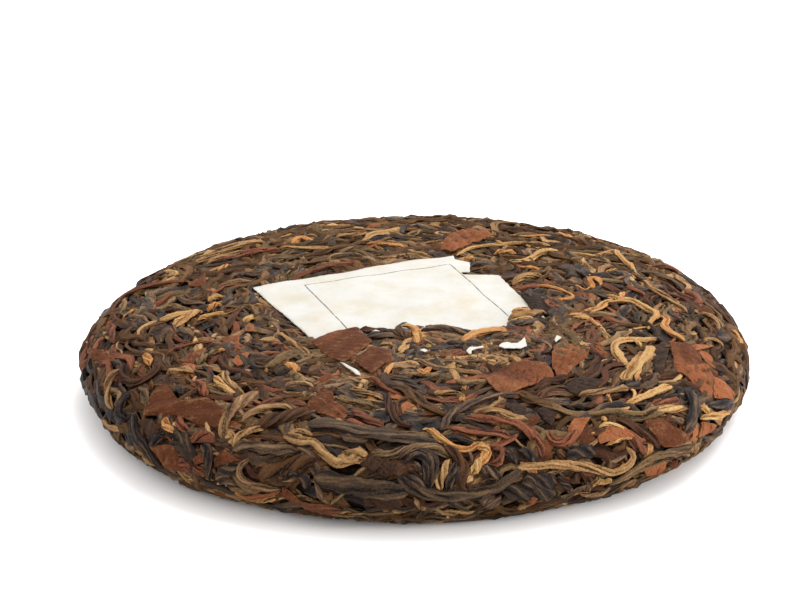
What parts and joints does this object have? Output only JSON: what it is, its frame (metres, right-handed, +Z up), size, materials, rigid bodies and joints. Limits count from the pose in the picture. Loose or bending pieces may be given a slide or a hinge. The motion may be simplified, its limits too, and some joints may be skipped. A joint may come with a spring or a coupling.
{
  "type": "black tea cake",
  "caption": "Round flat cake of pressed whole-leaf black tea with rounded sides, and a paper ticket pressed into its top.",
  "frame": {"origin": "middle of the flat foot that the cake rests on", "axes": "+Z up through the cake, -Y towards the side with the ticket's covered edge, which the picture's camera faces"},
  "size_m": [0.1496, 0.1495, 0.0224],
  "materials": {
    "tea_leaf": "matte",
    "paper": "matte"
  },
  "bodies": {
    "root": {"tea_cake": "tea_leaf", "ticket": "paper"}
  },
  "joints": []
}
